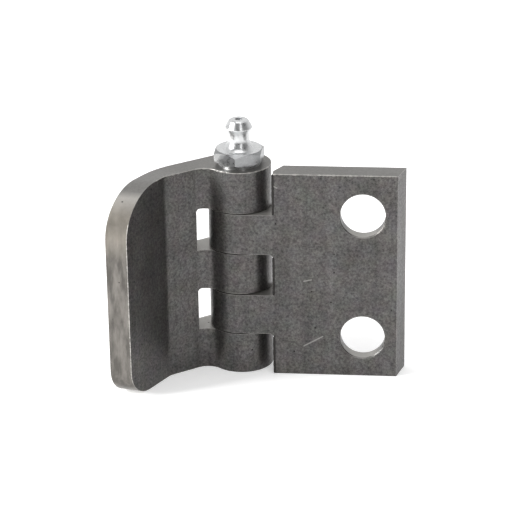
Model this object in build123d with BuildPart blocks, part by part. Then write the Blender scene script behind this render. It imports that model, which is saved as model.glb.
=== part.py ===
from build123d import *
import os
from math import sqrt

# Weld-on barrel hinge. Two leaves of drawn steel profile share five knuckles on a greased pin.
# Sizes are in millimetres, angles in degrees.
# Frame: the origin is on the hinge axis at the barrel's lower end. +Z runs up the hinge axis,
# +X runs along the bolt leaf, and the front of the hinge looks towards -Y.

# ---- Driving dimensions ----

# Barrel: the knuckles alternate, with the weld leaf's at both ends.
knuckle_count = 5
knuckle_pitch = 10.2
knuckle_gap = 0.3
barrel_r = 7.5
pick_tolerance = 0.25

# Weld leaf: a web that leaves the barrel along its rear tangent, then bends into a flange.
web_angle = 37.5
web_length = 14.1
web_thickness = 5.7
web_root_r = 4.0
bend_angle = 25.0
bend_outer_r = 21.5
crease_r = 3.5
flange_length = 15.2
flange_thickness = 5.0
flange_end_lean = 1.4
flange_top_r = 11.5
flange_bottom_r = 7.0
window_clearance = 3.6
window_corner_r = 0.8

# Bolt leaf: a flat plate that leaves the barrel along its front tangent.
plate_length = 39.25
plate_thickness = 6.0
plate_end_lean = 1.75
plate_root_r = 4.0
notch_clearance = 0.9
notch_land = 2.2
notch_flare = 2.1
notch_corner_r = 1.2
bolt_hole_d = 10.6
bolt_hole_margin = 9.85
bolt_hole_spacing = 31.0
bolt_rim_chamfer = 0.24
bolt_sink_d = 16.6
bolt_sink_angle = 90.0

# Hinge pin: pressed into the weld leaf's knuckles, free in the bolt leaf's.
pin_d = 9.0
pin_running_clearance = 0.05
pin_chamfer = 0.4
grease_bore_d = 3.0
grease_port_d = 2.5
grease_sump = 1.5

# Tapped hole for the nipple in the top knuckle, with the thread modelled plain.
thread_d = 10.0
thread_depth = 6.5

# Grease nipple: hexagon, neck and coupling head on a threaded stub.
stub_length = 5.5
hex_standoff = 0.45
hex_flats = 11.0
hex_height = 3.25
hex_turn = 26.5
hex_top_chamfer = 1.0
hex_top_chamfer_height = 0.7
hex_bottom_chamfer = 1.15
hex_bottom_chamfer_height = 0.75
skirt_r = 3.8
neck_r = 2.5
neck_height = 2.55
head_r = 3.25
head_height = 5.1
head_round = 0.4
nose_r = 2.35
nose_height = 6.8
nose_chamfer = 0.4
nose_chamfer_height = 0.25

# Check valve: a ball that a coil spring holds under the nipple's lip. The fine wire is drawn with flats.
lip_thickness = 0.35
orifice_r = 0.85
seat_depth = 0.3
channel_r = 1.35
channel_floor = 1.3
passage_r = 0.9
ball_d = 2.5
ball_seat_gap = 0.03
spring_d = 2.3
spring_wire_d = 0.3
spring_end_gap = 0.03
spring_turns = 5
spring_wire_sides = 8

# ---- Derived sizes ----

barrel_height = knuckle_count * knuckle_pitch
weld_knuckles = range(0, knuckle_count, 2)
bolt_knuckles = range(1, knuckle_count, 2)
pin_r = pin_d / 2

# A cut that makes room for one knuckle is taller than it by a gap at each end.
cut_height = knuckle_pitch + knuckle_gap


def cut_floor(level):
    """Lower face of the cut that makes room for a knuckle of the other leaf."""
    return level * knuckle_pitch - knuckle_gap / 2


# ---- Weld leaf ----

web_dir = Vector(-1, 0).rotate(Axis.Z, web_angle)
web_back = Vector(0, 1).rotate(Axis.Z, web_angle)
flange_dir = web_dir.rotate(Axis.Z, bend_angle)
flange_back = web_back.rotate(Axis.Z, bend_angle)
web_front_foot = web_back * (barrel_r - web_thickness)
window_r = barrel_r + window_clearance

with BuildPart() as weld_leaf:
    with BuildSketch() as weld_profile:
        with BuildLine():
            web_front = Line(
                web_front_foot,
                web_front_foot + web_dir * (web_length + flange_length),
                mode=Mode.PRIVATE,
            )
            back = Line(web_back * barrel_r, web_back * barrel_r + web_dir * web_length)
            bend = JernArc(back @ 1, back % 1, bend_outer_r, bend_angle)
            outer = Line(bend @ 1, bend @ 1 + flange_dir * flange_length)
            inner_end = outer @ 1 - flange_back * flange_thickness - flange_dir * flange_end_lean
            Line(outer @ 1, inner_end)
            inner = IntersectingLine(inner_end, -flange_dir, web_front)
            Polyline(inner @ 1, web_front_foot, back @ 0)
        make_face()
        Circle(barrel_r)
        crease = weld_profile.vertices().sort_by_distance(inner @ 1)[0]
        fillet(crease, crease_r)
        web_root = weld_profile.vertices().sort_by_distance(web_front_foot + web_dir * barrel_r)[0]
        fillet(web_root, web_root_r)
    extrude(amount=barrel_height)

    # The free end of the flange is rounded off, more at the top than at the bottom.
    flange_axis = Axis((0, 0, 0), flange_dir)
    end_face = weld_leaf.faces().sort_by(flange_axis)[-1]
    fillet(end_face.edges().sort_by(Axis.Z)[-1], flange_top_r)
    end_face = weld_leaf.faces().filter_by(GeomType.PLANE).sort_by(flange_axis)[-1]
    fillet(end_face.edges().sort_by(Axis.Z)[0], flange_bottom_r)

    # Windows, milled round the hinge axis, let the bolt leaf's knuckles in.
    for level in bolt_knuckles:
        with BuildSketch(Plane.XY.offset(cut_floor(level))):
            Circle(window_r)
        extrude(amount=cut_height, mode=Mode.SUBTRACT)
        window_top = cut_floor(level) + cut_height
        corners = weld_leaf.edges().filter_by(GeomType.CIRCLE).filter_by_position(
            Axis.Z, window_top - pick_tolerance, window_top + pick_tolerance
        )
        fillet([edge for edge in corners if abs(edge.radius - window_r) < pick_tolerance], window_corner_r)

    with Locations((0, 0, barrel_height)):
        CounterBoreHole(pin_r, thread_d / 2, thread_depth)
weld_leaf.part.label = "weld_leaf"

# ---- Bolt leaf ----

plate_back = plate_thickness - barrel_r
bolt_hole_x = plate_length - bolt_hole_margin
notch_x = barrel_r + notch_clearance
notch_slope = notch_flare / (plate_thickness - notch_land)
notch_back_x = notch_x + notch_slope * (2 * barrel_r - notch_land)

with BuildPart() as bolt_leaf:
    with BuildSketch() as plate_profile:
        with BuildLine():
            Polyline(
                (0, -barrel_r),
                (plate_length - plate_end_lean, -barrel_r),
                (plate_length, plate_back),
                (0, plate_back),
                close=True,
            )
        make_face()
        Circle(barrel_r)
        plate_root = plate_profile.vertices().sort_by_distance((barrel_r, plate_back))[0]
        fillet(plate_root, plate_root_r)
    extrude(amount=barrel_height)

    # Notches let the weld leaf's knuckles in. Their end walls flare towards the back.
    for level in weld_knuckles:
        with BuildSketch(Plane.XY.offset(cut_floor(level))):
            with BuildLine():
                Polyline(
                    (-notch_x, -barrel_r),
                    (notch_x, -barrel_r),
                    (notch_x, notch_land - barrel_r),
                    (notch_back_x, barrel_r),
                    (-notch_x, barrel_r),
                    close=True,
                )
            make_face()
        extrude(amount=cut_height, mode=Mode.SUBTRACT)
        notch_top = cut_floor(level) + cut_height
        if notch_top < barrel_height:
            corners = bolt_leaf.edges().filter_by(GeomType.LINE).filter_by_position(
                Axis.Z, notch_top - pick_tolerance, notch_top + pick_tolerance
            )
            fillet([edge for edge in corners if edge.center().X > notch_x - pick_tolerance], notch_corner_r)

    Hole(pin_r + pin_running_clearance)

    # The bolt holes are countersunk from the back.
    with Locations(Plane((bolt_hole_x, plate_back, barrel_height / 2), (0, 0, 1), (0, 1, 0))):
        with GridLocations(bolt_hole_spacing, bolt_hole_spacing, 2, 1):
            CounterSinkHole(bolt_hole_d / 2, bolt_sink_d / 2, counter_sink_angle=bolt_sink_angle)
    front_arcs = bolt_leaf.edges().filter_by(GeomType.CIRCLE).group_by(Axis.Y)[0]
    chamfer([arc for arc in front_arcs if abs(arc.radius - bolt_hole_d / 2) < pick_tolerance], bolt_rim_chamfer)
bolt_leaf.part.label = "bolt_leaf"

# ---- Hinge pin ----

pin_length = barrel_height - thread_depth
port_levels = [(level + 0.5) * knuckle_pitch for level in bolt_knuckles]

with BuildPart() as hinge_pin:
    Cylinder(pin_r, pin_length, align=(Align.CENTER, Align.CENTER, Align.MIN))
    chamfer(hinge_pin.edges().filter_by(GeomType.CIRCLE), pin_chamfer)

    # Grease runs down the middle and out through a port at each of the bolt leaf's knuckles.
    with Locations((0, 0, pin_length)):
        Hole(grease_bore_d / 2, pin_length - port_levels[0] + grease_sump)
    for port_level in port_levels:
        with Locations(Plane.YZ.offset(0).shift_origin((0, 0, port_level))):
            Hole(grease_port_d / 2)
hinge_pin.part.label = "hinge_pin"

# ---- Grease nipple ----

hex_floor = barrel_height + hex_standoff
hex_top = hex_floor + hex_height
hex_corner_r = hex_flats / sqrt(3)
nipple_top = hex_top + nose_height + nose_chamfer_height
stub_floor = hex_floor - stub_length
spring_floor = hex_top + channel_floor
seat_level = nipple_top - lip_thickness

with BuildPart() as grease_nipple:
    with BuildSketch(Plane.XY.offset(hex_floor)):
        RegularPolygon(hex_flats / 2, 6, major_radius=False, rotation=hex_turn)
    extrude(amount=hex_height)

    # The hexagon's corners are turned down at both ends.
    with BuildSketch(Plane.XZ):
        with BuildLine():
            Polyline(
                (0, hex_floor),
                (hex_corner_r - hex_bottom_chamfer, hex_floor),
                (hex_corner_r, hex_floor + hex_bottom_chamfer_height),
                (hex_corner_r, hex_top - hex_top_chamfer_height),
                (hex_corner_r - hex_top_chamfer, hex_top),
                (0, hex_top),
                close=True,
            )
        make_face()
    revolve(axis=Axis.Z, mode=Mode.INTERSECT)

    with BuildSketch(Plane.XY.offset(hex_floor)):
        Circle(thread_d / 2)
    extrude(amount=-stub_length)

    # Skirt, waisted neck, coupling head and cone.
    with BuildSketch(Plane.XZ) as head_profile:
        with BuildLine():
            neck = (neck_r, hex_top + neck_height)
            skirt = TangentArc(neck, (skirt_r, hex_top), tangent=(0, -1))
            flare = TangentArc(neck, (head_r, hex_top + head_height), tangent=(0, 1))
            Polyline(
                flare @ 1,
                (nose_r, hex_top + nose_height),
                (nose_r - nose_chamfer, nipple_top),
                (0, nipple_top),
                (0, hex_top),
                skirt @ 1,
            )
        make_face()
        fillet(head_profile.vertices().sort_by_distance(flare @ 1)[0], head_round)
    revolve(axis=Axis.Z)

    # Grease passage, spring channel, ball seat and orifice.
    with BuildSketch(Plane.XZ):
        with BuildLine():
            Polyline(
                (0, stub_floor),
                (passage_r, stub_floor),
                (passage_r, spring_floor),
                (channel_r, spring_floor),
                (channel_r, seat_level - seat_depth),
                (orifice_r, seat_level),
                (orifice_r, nipple_top),
                (0, nipple_top),
                close=True,
            )
        make_face()
    revolve(axis=Axis.Z, mode=Mode.SUBTRACT)
grease_nipple.part.label = "grease_nipple"

# ---- Check ball ----

ball_r = ball_d / 2
ball_level = seat_level - sqrt(ball_r**2 - orifice_r**2) - ball_seat_gap

with BuildPart(Plane.XY.offset(ball_level)) as check_ball:
    Sphere(ball_r)
check_ball.part.label = "check_ball"

# ---- Check spring ----

coil_r = (spring_d - spring_wire_d) / 2
wire_r = spring_wire_d / 2
coil_floor = spring_floor + wire_r + spring_end_gap
coil_top = ball_level - sqrt((ball_r + wire_r) ** 2 - coil_r**2) - spring_end_gap
coil_height = coil_top - coil_floor

with BuildPart() as check_spring:
    with BuildLine(Plane.XY.offset(coil_floor)) as coil:
        Helix(coil_height / spring_turns, coil_height, coil_r)
    with BuildSketch(Plane(coil.line @ 0, z_dir=coil.line % 0)):
        RegularPolygon(wire_r, spring_wire_sides)
    sweep(is_frenet=True)
check_spring.part.label = "check_spring"

# ---- Output ----

os.makedirs("parts", exist_ok=True)
export_step(weld_leaf.part, "parts/weld_leaf.step")
export_step(bolt_leaf.part, "parts/bolt_leaf.step")
export_step(hinge_pin.part, "parts/hinge_pin.step")
export_step(grease_nipple.part, "parts/grease_nipple.step")
export_step(check_ball.part, "parts/check_ball.step")
export_step(check_spring.part, "parts/check_spring.step")
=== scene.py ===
import math
import random

import bmesh
import bpy
from bpy.props import FloatProperty, FloatVectorProperty, PointerProperty
from mathutils import Matrix, Vector


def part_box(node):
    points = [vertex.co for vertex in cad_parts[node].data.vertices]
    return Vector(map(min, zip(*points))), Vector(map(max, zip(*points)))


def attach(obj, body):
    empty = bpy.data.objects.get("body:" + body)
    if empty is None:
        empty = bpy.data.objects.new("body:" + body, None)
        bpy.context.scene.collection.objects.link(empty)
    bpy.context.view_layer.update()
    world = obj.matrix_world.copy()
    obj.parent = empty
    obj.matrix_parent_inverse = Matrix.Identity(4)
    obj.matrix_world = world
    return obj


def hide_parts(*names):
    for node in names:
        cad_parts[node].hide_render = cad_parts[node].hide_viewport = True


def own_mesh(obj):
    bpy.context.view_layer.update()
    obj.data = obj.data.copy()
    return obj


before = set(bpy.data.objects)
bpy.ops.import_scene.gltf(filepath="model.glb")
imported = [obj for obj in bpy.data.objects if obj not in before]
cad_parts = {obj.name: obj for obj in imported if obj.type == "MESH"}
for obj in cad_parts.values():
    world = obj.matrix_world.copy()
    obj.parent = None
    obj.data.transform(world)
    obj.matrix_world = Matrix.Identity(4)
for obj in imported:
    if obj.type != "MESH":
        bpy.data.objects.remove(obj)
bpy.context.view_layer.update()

bl_info = {
    "name": "Weld-on barrel hinge finish",
    "version": (1, 0, 0),
    "blender": (4, 5, 0),
    "location": "3D View > Sidebar > Hinge",
    "description": "Finishes the steel, burrs, grease nipple and studio of a weld-on barrel hinge",
    "category": "Material",
}

MM = 0.001
FRAME_SIDE = "frame_side"
DOOR_SIDE = "door_side"

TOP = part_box("weld_leaf")[1].z
BARREL_R = -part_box("bolt_leaf")[0].y

# The flange turns this far from the bolt leaf's line. Its end and its inner face follow from it.
FLANGE_TURN = math.radians(62.5)
FLANGE_END = Vector((-math.cos(FLANGE_TURN), -math.sin(FLANGE_TURN), 0))
FLANGE_INSIDE = Vector((math.sin(FLANGE_TURN), -math.cos(FLANGE_TURN), 0))
PLATE_END = Vector((1, 0, 0))
PLATE_FACE = Vector((0, 1, 0))

# The grinder ran round the flange's corner, this far in from the end.
FLANGE_GROUND = 12 * MM

# Painted highlight on the flange's ground end, on partly real bright steel: it grows between these heights, up
# to this share.
HIGHLIGHT_POLISH_START = 35 * MM
HIGHLIGHT_POLISH_FULL = 41 * MM
FLANGE_POLISH_HIGHLIGHT = 0.4

# Upright faces of the nipple beyond this radius are the hexagon's, which are painted darker as shade.
HEX_INNER_R = 5.4 * MM

# Scratches on the front of the bolt leaf, each from one point to another.
PLATE_FRONT = -BARREL_R
PLATE_SCRATCHES = (
    (Vector((15.6 * MM, PLATE_FRONT, 24.2 * MM)), Vector((17.3 * MM, PLATE_FRONT, 24.6 * MM))),
    (Vector((15.5 * MM, PLATE_FRONT, 7.4 * MM)), Vector((20.0 * MM, PLATE_FRONT, 10.0 * MM))),
    (Vector((8.3 * MM, PLATE_FRONT, 48.2 * MM)), Vector((9.4 * MM, PLATE_FRONT, 47.6 * MM))),
)

# Radius of each burr's bead. The one at the notches is thicker than a real burr, so that it shows: dark and
# thick, it is partly a real burr and partly painted shade filling the gap beside the knuckles.
SAWN_BURR_R = 0.15 * MM
NOTCH_BURR_SHADE_R = 0.3 * MM
LIP_BURR_R = 0.13 * MM

# Name, azimuth and elevation in degrees, distance, width and height in metres, and power in watts.
SOFT_BOXES = (
    ("left softbox", -68, 22, 0.8, 0.2, 0.45, 8.5),
    ("right softbox", 28, 30, 0.8, 0.06, 0.5, 0.7),
    ("top softbox", 0, 80, 0.9, 0.6, 0.6, 2.4),
)

# The paper is far wider than the camera's view, in metres, and lies just under the hinge.
FLOOR_R = 6.0
FLOOR_DROP = 0.02 * MM


# ---- Colour and node helpers ----


def linear(code):
    """Turn an sRGB hex colour into the linear RGBA that Blender's sockets take."""
    channels = [int(code[i : i + 2], 16) / 255 for i in (1, 3, 5)]
    values = [c / 12.92 if c <= 0.04045 else ((c + 0.055) / 1.055) ** 2.4 for c in channels]
    return (*values, 1.0)


def per_mm(size):
    """Texture scale, in repeats for each metre, of a pattern whose grain is size millimetres wide."""
    return 1 / (size * MM)


def add(tree, kind, settings, inputs):
    """Add a node with its settings. An input is either a value or the output socket that feeds it."""
    node = tree.nodes.new(kind)
    for name, value in settings.items():
        setattr(node, name, value)
    for key, value in inputs.items():
        if isinstance(value, bpy.types.NodeSocket):
            tree.links.new(value, node.inputs[key])
        else:
            node.inputs[key].default_value = value
    return node


def new_material(name):
    """Return an empty node material with its tree and its surface socket."""
    material = bpy.data.materials.new(name)
    material.use_nodes = True
    tree = material.node_tree
    tree.nodes.clear()
    output = tree.nodes.new("ShaderNodeOutputMaterial")
    return material, tree, output.inputs["Surface"]


def dress(node_name, material):
    """Give a CAD node one material in all its slots."""
    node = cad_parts[node_name]
    node.data.materials.clear()
    node.data.materials.append(material)
    for polygon in node.data.polygons:
        polygon.material_index = 0


# ---- Materials ----


class GroundEnd:
    """Where a leaf was ground: its end's direction, its flat face's normal, how far in the grinding
    starts, how strongly a painted highlight brightens the upper end on partly real bright steel,
    and the scratches on its face. A depth of nothing leaves the end as it was sheared.
    """

    def __init__(self, node_name, direction, face, depth, polish_and_highlight, scratches):
        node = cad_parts[node_name]
        corners = [node.matrix_world @ vertex.co for vertex in node.data.vertices]
        self.direction = direction
        self.face = face
        self.start = max(corner.dot(direction) for corner in corners) - depth
        self.polish_and_highlight = polish_and_highlight
        self.scratches = scratches


def drawn_steel(name, finish, streak_mm, ground):
    """Bar of low-carbon steel drawn to a profile and left bare, under a thin grey oxide.

    The oxide makes it dull and mottled, with faint brown, green and violet stains, and pale
    wherever a saw has gone through. Its edges are pale too, partly from wear and partly as a
    painted highlight. As deep as ground says, the free end was ground after shearing, so it is
    brighter, with brush strokes along the hinge axis, and a painted highlight brightens its upper end.
    """
    material, tree, surface = new_material(name)
    place = add(tree, "ShaderNodeTexCoord", {}, {}).outputs["Object"]
    normal = add(tree, "ShaderNodeNewGeometry", {}, {}).outputs["Normal"]

    # Oxide grain is about 0.1 mm in fact, and is drawn 0.55 mm wide so that it shows.
    grain = add(tree, "ShaderNodeTexNoise", {}, {
        "Vector": place, "Scale": per_mm(0.55), "Detail": 4.0, "Roughness": 0.75,
    }).outputs[0]
    blotch = add(tree, "ShaderNodeTexNoise", {}, {
        "Vector": place, "Scale": per_mm(7.0), "Detail": 3.0, "Roughness": 0.6, "Distortion": 0.4,
    }).outputs[0]
    stain = add(tree, "ShaderNodeTexNoise", {}, {
        "Vector": place, "Scale": per_mm(4.0), "Detail": 2.0, "Roughness": 0.6,
    }).outputs["Color"]

    # Drawing leaves streaks along the bar, which is the hinge axis.
    stretched = add(tree, "ShaderNodeMapping", {}, {
        "Vector": place, "Scale": (1.0, 1.0, 0.02),
    }).outputs[0]
    streak = add(tree, "ShaderNodeTexNoise", {}, {
        "Vector": stretched, "Scale": per_mm(streak_mm), "Detail": 3.0, "Roughness": 0.6,
    }).outputs[0]

    speckle = add(tree, "ShaderNodeMapRange", {}, {
        "Value": grain, "From Min": 0.32, "From Max": 0.68, "To Min": 0.0, "To Max": 1.0,
    }).outputs[0]
    base = add(tree, "ShaderNodeMix", {"data_type": "RGBA"}, {
        0: speckle, 6: linear(finish.dark), 7: linear(finish.light),
    }).outputs[2]
    cloud = add(tree, "ShaderNodeMapRange", {}, {
        "Value": blotch, "From Min": 0.3, "From Max": 0.7, "To Min": 0.86, "To Max": 1.14,
    }).outputs[0]
    lines = add(tree, "ShaderNodeMapRange", {}, {
        "Value": streak, "From Min": 0.3, "From Max": 0.7, "To Min": 0.86, "To Max": 1.14,
    }).outputs[0]
    shade = add(tree, "ShaderNodeMath", {"operation": "MULTIPLY"}, {0: cloud, 1: lines}).outputs[0]
    shaded = add(tree, "ShaderNodeVectorMath", {"operation": "SCALE"}, {0: base, "Scale": shade}).outputs[0]
    tinted = add(tree, "ShaderNodeMix", {"data_type": "RGBA", "blend_type": "SOFT_LIGHT"}, {
        0: 0.1, 6: shaded, 7: stain,
    }).outputs[2]

    # Sawn ends and milled faces look along the hinge axis. They are cleaner and paler.
    upright = add(tree, "ShaderNodeSeparateXYZ", {}, {0: normal}).outputs["Z"]
    level = add(tree, "ShaderNodeMath", {"operation": "ABSOLUTE"}, {0: upright}).outputs[0]
    sawn = add(tree, "ShaderNodeMapRange", {}, {
        "Value": level, "From Min": 0.5, "From Max": 0.9, "To Min": 0.0, "To Max": 1.0,
    }).outputs[0]
    cut_grain = add(tree, "ShaderNodeTexNoise", {}, {
        "Vector": place, "Scale": per_mm(0.7), "Detail": 3.0, "Roughness": 0.7,
    }).outputs[0]
    cut_colour = add(tree, "ShaderNodeMix", {"data_type": "RGBA"}, {
        0: cut_grain, 6: linear(finish.cut_dark), 7: linear(finish.cut_light),
    }).outputs[2]
    height = add(tree, "ShaderNodeSeparateXYZ", {}, {0: place}).outputs["Z"]
    milled = add(tree, "ShaderNodeMapRange", {}, {
        "Value": height, "From Min": TOP - 1 * MM, "From Max": TOP - 2 * MM, "To Min": 0.0, "To Max": 1.0,
    }).outputs[0]
    cut_body = add(tree, "ShaderNodeMix", {"data_type": "RGBA"}, {
        0: milled, 6: cut_colour, 7: linear(finish.milled),
    }).outputs[2]
    body = add(tree, "ShaderNodeMix", {"data_type": "RGBA"}, {
        0: sawn, 6: tinted, 7: cut_body,
    }).outputs[2]

    # The ground end keeps patches of oxide between its bright strokes.
    along = add(tree, "ShaderNodeVectorMath", {"operation": "DOT_PRODUCT"}, {
        0: place, 1: ground.direction,
    }).outputs["Value"]
    near_end = add(tree, "ShaderNodeMapRange", {}, {
        "Value": along, "From Min": ground.start, "From Max": ground.start + 0.3 * MM,
        "To Min": 0.0, "To Max": 1.0,
    }).outputs[0]
    across = add(tree, "ShaderNodeVectorMath", {"operation": "DOT_PRODUCT"}, {
        0: normal, 1: ground.face,
    }).outputs["Value"]
    flat = add(tree, "ShaderNodeMath", {"operation": "ABSOLUTE"}, {0: across}).outputs[0]
    on_edge = add(tree, "ShaderNodeMapRange", {}, {
        "Value": flat, "From Min": 0.6, "From Max": 0.4, "To Min": 0.0, "To Max": 1.0,
    }).outputs[0]
    not_sawn = add(tree, "ShaderNodeMath", {"operation": "SUBTRACT"}, {0: 1.0, 1: sawn}).outputs[0]
    edge_face = add(tree, "ShaderNodeMath", {"operation": "MULTIPLY"}, {0: on_edge, 1: near_end}).outputs[0]
    ground_mask = add(tree, "ShaderNodeMath", {"operation": "MULTIPLY"}, {0: edge_face, 1: not_sawn}).outputs[0]
    brushed = add(tree, "ShaderNodeMapping", {}, {"Vector": place, "Scale": (1.0, 1.0, 0.25)}).outputs[0]
    stroke = add(tree, "ShaderNodeTexNoise", {}, {
        "Vector": brushed, "Scale": per_mm(2.2), "Detail": 5.0, "Roughness": 0.65,
    }).outputs[0]
    bright = add(tree, "ShaderNodeMapRange", {}, {
        "Value": stroke, "From Min": 0.38, "From Max": 0.62, "To Min": 0.0, "To Max": 1.0,
    }).outputs[0]
    ground_colour = add(tree, "ShaderNodeMix", {"data_type": "RGBA"}, {
        0: bright, 6: linear(finish.ground_dark), 7: linear(finish.ground_light),
    }).outputs[2]
    # Painted highlight, on partly real bright steel: the ground end turns tan and pale towards its upper end.
    polish_and_highlight = add(tree, "ShaderNodeMapRange", {}, {
        "Value": height, "From Min": HIGHLIGHT_POLISH_START, "From Max": HIGHLIGHT_POLISH_FULL,
        "To Min": 0.0, "To Max": ground.polish_and_highlight,
    }).outputs[0]
    polished = add(tree, "ShaderNodeMix", {"data_type": "RGBA"}, {
        0: polish_and_highlight, 6: ground_colour, 7: linear(finish.polished),
    }).outputs[2]
    body = add(tree, "ShaderNodeMix", {"data_type": "RGBA"}, {
        0: ground_mask, 6: body, 7: polished,
    }).outputs[2]

    # Sparse pits where scale was rolled in.
    cells = add(tree, "ShaderNodeTexVoronoi", {}, {
        "Vector": place, "Scale": per_mm(4.2), "Randomness": 1.0,
    })
    pit_size = add(tree, "ShaderNodeMapRange", {}, {
        "Value": cells.outputs["Distance"], "From Min": 0.03, "From Max": 0.075, "To Min": 1.0, "To Max": 0.0,
    }).outputs[0]
    pitted = add(tree, "ShaderNodeMix", {"data_type": "RGBA"}, {
        0: pit_size, 6: body, 7: linear(finish.pit),
    }).outputs[2]

    # Scratches from handling go through the oxide to bare steel.
    for start, stop in ground.scratches:
        run = stop - start
        offset = add(tree, "ShaderNodeVectorMath", {"operation": "SUBTRACT"}, {0: place, 1: start}).outputs[0]
        reach = add(tree, "ShaderNodeVectorMath", {"operation": "DOT_PRODUCT"}, {
            0: offset, 1: run / run.length_squared,
        }).outputs["Value"]
        held = add(tree, "ShaderNodeClamp", {}, {"Value": reach, "Min": 0.0, "Max": 1.0}).outputs[0]
        foot = add(tree, "ShaderNodeVectorMath", {"operation": "SCALE"}, {0: run, "Scale": held}).outputs[0]
        gap = add(tree, "ShaderNodeVectorMath", {"operation": "DISTANCE"}, {
            0: offset, 1: foot,
        }).outputs["Value"]
        scratched = add(tree, "ShaderNodeMapRange", {}, {
            "Value": gap, "From Min": 0.05 * MM, "From Max": 0.22 * MM, "To Min": 0.45, "To Max": 0.0,
        }).outputs[0]
        pitted = add(tree, "ShaderNodeMix", {"data_type": "RGBA"}, {
            0: scratched, 6: pitted, 7: linear(finish.rubbed_and_edge_highlight),
        }).outputs[2]

    # Edges are pale: partly oxide that handling wore off, partly a painted highlight along every edge.
    rounded = add(tree, "ShaderNodeBevel", {"samples": 4}, {"Radius": 0.22 * MM}).outputs[0]
    facing = add(tree, "ShaderNodeVectorMath", {"operation": "DOT_PRODUCT"}, {
        0: rounded, 1: normal,
    }).outputs["Value"]
    rub_and_edge_highlight = add(tree, "ShaderNodeMapRange", {}, {
        "Value": facing, "From Min": 0.98, "From Max": 0.85, "To Min": 0.0, "To Max": 0.6,
    }).outputs[0]
    worn_and_edge_highlit = add(tree, "ShaderNodeMix", {"data_type": "RGBA"}, {
        0: rub_and_edge_highlight, 6: pitted, 7: linear(finish.rubbed_and_edge_highlight),
    }).outputs[2]

    rough = add(tree, "ShaderNodeMapRange", {}, {
        "Value": grain, "From Min": 0.3, "From Max": 0.7,
        "To Min": finish.roughness + 0.08, "To Max": finish.roughness - 0.08,
    }).outputs[0]
    relief = add(tree, "ShaderNodeMath", {"operation": "SUBTRACT"}, {0: grain, 1: pit_size}).outputs[0]
    bumped = add(tree, "ShaderNodeBump", {}, {
        "Strength": 0.35, "Distance": 0.03 * MM, "Height": relief,
    }).outputs[0]
    # The surface spreads a highlight along the hinge axis more than across it.
    around = add(tree, "ShaderNodeTangent", {"direction_type": "RADIAL", "axis": "Z"}, {}).outputs[0]
    shader = add(tree, "ShaderNodeBsdfPrincipled", {}, {
        "Base Color": worn_and_edge_highlit, "Metallic": 0.75, "Roughness": rough, "Normal": bumped,
        "Anisotropic": 0.5, "Anisotropic Rotation": 0.25, "Tangent": around,
    })
    tree.links.new(shader.outputs[0], surface)
    return material


def plated_steel(name, light, dark, roughness, turn_mm, flat_shade=None):
    """Free-cutting steel turned on a lathe and bright zinc plated: silvery, with faint turning rings.

    Upright faces further than flat_shade's radius from the axis are the hexagon's. They get a
    darker grey than what the lathe cut, as painted shade.
    """
    material, tree, surface = new_material(name)
    place = add(tree, "ShaderNodeTexCoord", {}, {}).outputs["Object"]
    rings = add(tree, "ShaderNodeMapping", {}, {"Vector": place, "Scale": (0.05, 0.05, 1.0)}).outputs[0]
    turning = add(tree, "ShaderNodeTexNoise", {}, {
        "Vector": rings, "Scale": per_mm(turn_mm), "Detail": 3.0, "Roughness": 0.6,
    }).outputs[0]
    grain = add(tree, "ShaderNodeTexNoise", {}, {
        "Vector": place, "Scale": per_mm(0.8), "Detail": 4.0, "Roughness": 0.7,
    }).outputs[0]
    colour = add(tree, "ShaderNodeMix", {"data_type": "RGBA"}, {
        0: grain, 6: linear(dark), 7: linear(light),
    }).outputs[2]
    # Painted shade: the hexagon's upright faces get a darker grey than the turned faces.
    if flat_shade:
        radius, drawn = flat_shade
        level = add(tree, "ShaderNodeVectorMath", {"operation": "MULTIPLY"}, {
            0: place, 1: (1, 1, 0),
        }).outputs[0]
        out = add(tree, "ShaderNodeVectorMath", {"operation": "LENGTH"}, {0: level}).outputs["Value"]
        beyond = add(tree, "ShaderNodeMapRange", {}, {
            "Value": out, "From Min": radius - 0.1 * MM, "From Max": radius, "To Min": 0.0, "To Max": 1.0,
        }).outputs[0]
        colour = add(tree, "ShaderNodeMix", {"data_type": "RGBA"}, {
            0: beyond, 6: colour, 7: linear(drawn),
        }).outputs[2]
    rough = add(tree, "ShaderNodeMapRange", {}, {
        "Value": grain, "From Min": 0.3, "From Max": 0.7,
        "To Min": roughness - 0.06, "To Max": roughness + 0.08,
    }).outputs[0]
    height = add(tree, "ShaderNodeMath", {"operation": "ADD"}, {0: turning, 1: grain}).outputs[0]
    bumped = add(tree, "ShaderNodeBump", {}, {
        "Strength": 0.25, "Distance": 0.02 * MM, "Height": height,
    }).outputs[0]
    shader = add(tree, "ShaderNodeBsdfPrincipled", {}, {
        "Base Color": colour, "Metallic": 1.0, "Roughness": rough, "Normal": bumped,
    })
    tree.links.new(shader.outputs[0], surface)
    return material


# ---- Burrs ----

# A bead's rings are this far apart, and each has this many corners.
BEAD_STEP = 0.32 * MM
BEAD_SIDES = 6


def edge_runs(node_name, pick):
    """Points along the edges of a CAD node that pick accepts, joined end to end into runs."""
    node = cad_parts[node_name]
    shape = bmesh.new()
    shape.from_mesh(node.data)
    shape.transform(node.matrix_world)
    bmesh.ops.remove_doubles(shape, verts=shape.verts, dist=0.001 * MM)
    shape.normal_update()
    loose = {edge for edge in shape.edges if len(edge.link_faces) == 2 and pick(edge)}
    runs = []
    while loose:
        ends = [e for e in loose if any(sum(o in loose for o in v.link_edges) == 1 for v in e.verts)]
        edge = min(ends or loose, key=lambda e: e.index)
        vert = min(edge.verts, key=lambda v: sum(o in loose for o in v.link_edges))
        run = [vert.co.copy()]
        while edge:
            loose.discard(edge)
            vert = edge.other_vert(vert)
            run.append(vert.co.copy())
            edge = next((o for o in vert.link_edges if o in loose), None)
        runs.append(run)
    shape.free()
    return runs


def spaced(run, step):
    """Points about step apart along a run."""
    points = [run[0]]
    for start, end in zip(run, run[1:]):
        count = max(1, round((end - start).length / step))
        points += [start.lerp(end, i / count) for i in range(1, count + 1)]
    return points


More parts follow.
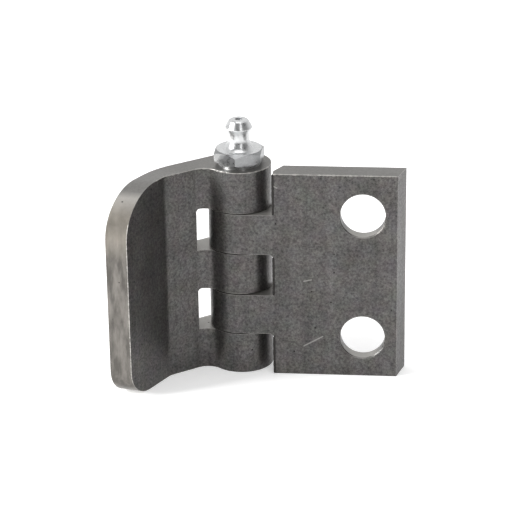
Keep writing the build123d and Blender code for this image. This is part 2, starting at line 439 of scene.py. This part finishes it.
def burr(name, node_name, body, pick, radius, ragged, material, seed):
    """A ragged bead of turned-up steel along the picked edges, which rides on the node's body."""
    chance = random.Random(seed)
    shape = bmesh.new()
    for run in edge_runs(node_name, pick):
        points = spaced(run, BEAD_STEP)
        last = None
        for i, point in enumerate(points):
            ahead = (points[min(i + 1, len(points) - 1)] - points[max(i - 1, 0)]).normalized()
            side = ahead.orthogonal().normalized() if abs(ahead.z) > 0.9 else ahead.cross(Vector((0, 0, 1)))
            rise = ahead.cross(side)
            at_end = i in (0, len(points) - 1)
            size = radius * (0.2 if at_end else 1 + ragged * (1.6 * chance.random() ** 2 - 1))
            ring = [
                shape.verts.new(point + size * (side * math.cos(turn) + rise * math.sin(turn)))
                for turn in (2 * math.pi * k / BEAD_SIDES for k in range(BEAD_SIDES))
            ]
            if last:
                for k in range(BEAD_SIDES):
                    shape.faces.new((last[k], last[k - 1], ring[k - 1], ring[k]))
            if at_end:
                shape.faces.new(ring)
            last = ring
    bmesh.ops.recalc_face_normals(shape, faces=shape.faces)
    mesh = bpy.data.meshes.new(name)
    shape.to_mesh(mesh)
    shape.free()
    for polygon in mesh.polygons:
        polygon.use_smooth = True
    mesh.materials.append(material)
    piece = bpy.data.objects.new(name, mesh)
    bpy.context.scene.collection.objects.link(piece)
    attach(piece, body)
    return piece


def is_top_front(edge):
    """Edges round the front of a sawn top, from the barrel outwards."""
    level = any(face.normal.z > 0.9 for face in edge.link_faces)
    front = any(face.normal.y < -0.3 and abs(face.normal.z) < 0.3 for face in edge.link_faces)
    outside = all(math.hypot(v.co.x, v.co.y) > 0.9 * BARREL_R for v in edge.verts)
    high = all(v.co.z > TOP - 0.02 * MM for v in edge.verts)
    return level and front and outside and high


def is_notch_mouth(edge):
    """The upright front edges of the bolt leaf's notches, beside the weld leaf's knuckles."""
    front = any(face.normal.y < -0.9 for face in edge.link_faces)
    wall = any(face.normal.x < -0.9 for face in edge.link_faces)
    return front and wall


def is_flange_lip(edge):
    """The upright edge between the flange's ground end and its inner face."""
    ground = any(face.normal.dot(FLANGE_END) > 0.85 for face in edge.link_faces)
    inside = any(face.normal.dot(FLANGE_INSIDE) > 0.85 for face in edge.link_faces)
    return ground and inside


# ---- Property groups ----


def hex_property(name, description, default):
    """A text property that holds an sRGB hex colour."""
    return bpy.props.StringProperty(name=name, description=description, default=default, maxlen=7)


class HingeSteel(bpy.types.PropertyGroup):
    """Finish of the drawn steel."""

    dark: hex_property("Dark oxide", "Colour of the oxide's dark grain", "#3e3c3c")
    light: hex_property("Light oxide", "Colour of the oxide's light grain", "#6a6866")
    cut_dark: hex_property("Dark cut", "Dark grain of sawn and milled faces", "#666462")
    cut_light: hex_property("Light cut", "Light grain of sawn and milled faces", "#888784")
    milled: hex_property("Milled", "Fresh steel on the shelves that a cutter left between knuckles", "#a3a19d")
    ground_dark: hex_property("Dark ground end", "Oxide left on a ground end", "#5a5753")
    ground_light: hex_property("Light ground end", "Bare steel on a ground end", "#7f7b76")
    # Tan colour of a painted highlight high on the flange's ground end, on partly real bright steel.
    polished: hex_property("Polished end", "Tan steel where the grinder leaned", "#a9a296")
    # Pale bare steel of scratches and of edges that handling wore; on the edges it is partly a painted
    # highlight.
    rubbed_and_edge_highlight: hex_property("Rubbed edge", "Bare steel along handled edges", "#b4b2ae")
    pit: hex_property("Pit", "Scale left in the pits", "#1f1e1d")
    roughness: FloatProperty(name="Roughness", description="Roughness of the oxide", default=0.42, min=0, max=1)


class HingeStudio(bpy.types.PropertyGroup):
    """Camera, lights and floor."""

    aim: FloatVectorProperty(
        name="Aim", description="Point on the hinge that the camera looks at", size=3,
        default=(3.6 * MM, 0.0, 27.2 * MM), subtype="TRANSLATION", unit="LENGTH",
    )
    distance: FloatProperty(
        name="Distance", description="From the camera to the aim", default=0.5545, unit="LENGTH", precision=4,
    )
    yaw: FloatProperty(
        name="Yaw", description="Turn of the camera from looking along +Y", default=math.radians(-5.54),
        subtype="ANGLE",
    )
    pitch: FloatProperty(
        name="Pitch", description="How far the camera looks down", default=math.radians(22.95), subtype="ANGLE",
    )
    roll: FloatProperty(
        name="Roll", description="Lean of the camera", default=math.radians(-0.86), subtype="ANGLE",
    )
    lens: FloatProperty(name="Lens", description="Focal length in millimetres", default=163.5)
    world: FloatProperty(name="Surroundings", description="Brightness of the white wall behind", default=1.0)
    table: FloatProperty(name="Table", description="Light that the paper passes from beneath", default=0.35)
    room: FloatProperty(name="Room", description="Brightness of the room in front", default=0.2)


class HingeProperties(bpy.types.PropertyGroup):
    """All settings of the hinge's finish."""

    steel: PointerProperty(type=HingeSteel)
    studio: PointerProperty(type=HingeStudio)


# ---- Operators ----


class HINGE_OT_leaves(bpy.types.Operator):
    """Give both leaves their drawn steel"""

    bl_idname = "hinge.leaves"
    bl_label = "Leaves"

    def execute(self, context):
        steel = context.scene.hinge.steel
        flange = GroundEnd("weld_leaf", FLANGE_END, FLANGE_INSIDE, FLANGE_GROUND, FLANGE_POLISH_HIGHLIGHT, ())
        dress("weld_leaf", drawn_steel("steel drawn weld leaf", steel, 1.6, flange))
        plate = GroundEnd("bolt_leaf", PLATE_END, PLATE_FACE, 0.0, 0.0, PLATE_SCRATCHES)
        dress("bolt_leaf", drawn_steel("steel drawn bolt leaf", steel, 2.4, plate))
        return {"FINISHED"}


class HINGE_OT_burrs(bpy.types.Operator):
    """Turn up the burrs that sawing and grinding left on both leaves, and thicken the notch mouths' burr into a
    dark bead of painted shade
    """

    bl_idname = "hinge.burrs"
    bl_label = "Burrs"

    def execute(self, context):
        bare = plated_steel("steel burr bare torn", "#c6c4bf", "#8f8d89", 0.38, 0.4)
        burr("burr_weld_top", "weld_leaf", FRAME_SIDE, is_top_front, SAWN_BURR_R, 0.6, bare, 1)
        burr("burr_bolt_top", "bolt_leaf", DOOR_SIDE, is_top_front, SAWN_BURR_R, 0.6, bare, 2)
        # The notch mouths' bead is dark oxidised steel laid thicker than a burr: partly a real burr, partly
        # painted shade in the gap beside the knuckles.
        dull = plated_steel("steel burr oxidised and shade", "#4a4847", "#2c2b2a", 0.5, 0.4)
        burr("burr_and_shade_notch_mouths", "bolt_leaf", DOOR_SIDE, is_notch_mouth, NOTCH_BURR_SHADE_R, 0.15, dull, 4)
        burr("burr_flange_lip", "weld_leaf", FRAME_SIDE, is_flange_lip, LIP_BURR_R, 0.6, bare, 3)
        return {"FINISHED"}


class HINGE_OT_pin(bpy.types.Operator):
    """Give the pin its turned steel"""

    bl_idname = "hinge.pin"
    bl_label = "Pin"

    def execute(self, context):
        dress("hinge_pin", plated_steel("steel turned pin", "#a5a4a2", "#7d7c7a", 0.34, 0.5))
        return {"FINISHED"}


class HINGE_OT_nipple(bpy.types.Operator):
    """Give the grease nipple, its ball and its spring their metals"""

    bl_idname = "hinge.nipple"
    bl_label = "Grease nipple"

    def execute(self, context):
        # The hexagon's faces get this darker grey as painted shade.
        flat_shade = (HEX_INNER_R, "#909192")
        dress("grease_nipple", plated_steel("steel turned zinc plated", "#e3e4e4", "#b6b7b8", 0.3, 0.3, flat_shade))
        dress("check_ball", plated_steel("steel ball hardened polished", "#8d8d90", "#707073", 0.15, 0.5))
        wire = plated_steel("steel spring wire drawn", "#6e6d6c", "#4a4948", 0.4, 0.5)
        dress("check_spring", wire)
        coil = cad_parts["check_spring"]
        spring = bpy.data.objects.new("spring_coil", coil.data.copy())
        spring.matrix_world = coil.matrix_world
        context.scene.collection.objects.link(spring)
        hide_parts("check_spring")
        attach(spring, FRAME_SIDE)
        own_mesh(spring)
        return {"FINISHED"}


def camera_axes(studio):
    """Right, up and forward directions of the camera."""
    forward = Vector((
        math.sin(studio.yaw) * math.cos(studio.pitch),
        math.cos(studio.yaw) * math.cos(studio.pitch),
        -math.sin(studio.pitch),
    ))
    level = Vector((math.cos(studio.yaw), -math.sin(studio.yaw), 0))
    upright = level.cross(forward)
    right = math.cos(studio.roll) * level + math.sin(studio.roll) * upright
    up = right.cross(forward)
    return right, up, forward


def soft_box(name, azimuth, elevation, distance, width, height, power):
    """An area light that looks at the hinge. Azimuth is from the camera's side, to the right."""
    data = bpy.data.lights.new(name, "AREA")
    data.shape = "RECTANGLE"
    data.size = width
    data.size_y = height
    data.energy = power
    light = bpy.data.objects.new(name, data)
    aim = Vector((0, 0, TOP / 2))
    turn, lift = math.radians(azimuth), math.radians(elevation)
    away = Vector((
        math.sin(turn) * math.cos(lift),
        -math.cos(turn) * math.cos(lift),
        math.sin(lift),
    ))
    light.location = aim + away * distance
    light.rotation_euler = (-away).to_track_quat("-Z", "Y").to_euler()
    bpy.context.scene.collection.objects.link(light)
    return light


class HINGE_OT_studio(bpy.types.Operator):
    """Lay the floor, hang the lights and set up the camera"""

    bl_idname = "hinge.studio"
    bl_label = "Studio"

    def execute(self, context):
        scene = context.scene
        studio = scene.hinge.studio

        mesh = bpy.data.meshes.new("floor")
        shape = bmesh.new()
        bmesh.ops.create_circle(shape, cap_ends=True, segments=96, radius=FLOOR_R)
        bmesh.ops.translate(shape, verts=shape.verts, vec=(0, 0, -FLOOR_DROP))
        shape.to_mesh(mesh)
        shape.free()
        floor = bpy.data.objects.new("floor", mesh)
        scene.collection.objects.link(floor)
        material, tree, surface = new_material("paper white seamless")
        place = add(tree, "ShaderNodeTexCoord", {}, {}).outputs["Object"]
        fibre = add(tree, "ShaderNodeTexNoise", {}, {"Vector": place, "Scale": per_mm(1.0)}).outputs[0]
        tone = add(tree, "ShaderNodeMix", {"data_type": "RGBA"}, {
            0: fibre, 6: linear("#fafafa"), 7: linear("#fdfdfd"),
        }).outputs[2]
        paper = add(tree, "ShaderNodeBsdfDiffuse", {}, {"Color": tone}).outputs[0]
        glow = add(tree, "ShaderNodeEmission", {}, {"Color": tone, "Strength": studio.table}).outputs[0]
        lit = add(tree, "ShaderNodeAddShader", {}, {0: paper, 1: glow})
        tree.links.new(lit.outputs[0], surface)
        mesh.materials.append(material)

        world = bpy.data.worlds.new("white room")
        world.use_nodes = True
        background = world.node_tree.nodes["Background"]
        background.inputs["Color"].default_value = linear("#ffffff")
        sky = world.node_tree
        way = add(sky, "ShaderNodeTexCoord", {}, {}).outputs["Generated"]
        depth = add(sky, "ShaderNodeSeparateXYZ", {}, {0: way}).outputs["Y"]
        fall = add(sky, "ShaderNodeMapRange", {}, {
            "Value": depth, "From Min": -0.2, "From Max": 0.5, "To Min": studio.room, "To Max": studio.world,
        }).outputs[0]
        sky.links.new(fall, background.inputs["Strength"])
        scene.world = world

        for box in SOFT_BOXES:
            soft_box(*box)

        right, up, forward = camera_axes(studio)
        data = bpy.data.cameras.new("camera")
        data.lens = studio.lens
        data.sensor_width = 36
        data.clip_start = 0.01
        camera = bpy.data.objects.new("camera", data)
        place = Vector(studio.aim) - forward * studio.distance
        turn = Matrix((right, up, -forward)).transposed().to_4x4()
        camera.matrix_world = Matrix.Translation(place) @ turn
        scene.collection.objects.link(camera)
        scene.camera = camera

        scene.view_settings.view_transform = "Standard"
        return {"FINISHED"}


class HINGE_PT_panel(bpy.types.Panel):
    """Lists the steps of the hinge's finish"""

    bl_idname = "HINGE_PT_panel"
    bl_label = "Hinge"
    bl_space_type = "VIEW_3D"
    bl_region_type = "UI"
    bl_category = "Hinge"

    def draw(self, context):
        for step in STEPS:
            self.layout.operator(step.bl_idname)


STEPS = (HINGE_OT_leaves, HINGE_OT_burrs, HINGE_OT_pin, HINGE_OT_nipple, HINGE_OT_studio)
CLASSES = (HingeSteel, HingeStudio, HingeProperties, *STEPS, HINGE_PT_panel)


def register():
    for cls in CLASSES:
        bpy.utils.register_class(cls)
    bpy.types.Scene.hinge = PointerProperty(type=HingeProperties)


def unregister():
    del bpy.types.Scene.hinge
    for cls in reversed(CLASSES):
        bpy.utils.unregister_class(cls)


def main():
    """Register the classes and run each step."""
    register()
    for step in STEPS:
        group, name = step.bl_idname.split(".")
        getattr(getattr(bpy.ops, group), name)()


if __name__ == "__main__":
    main()
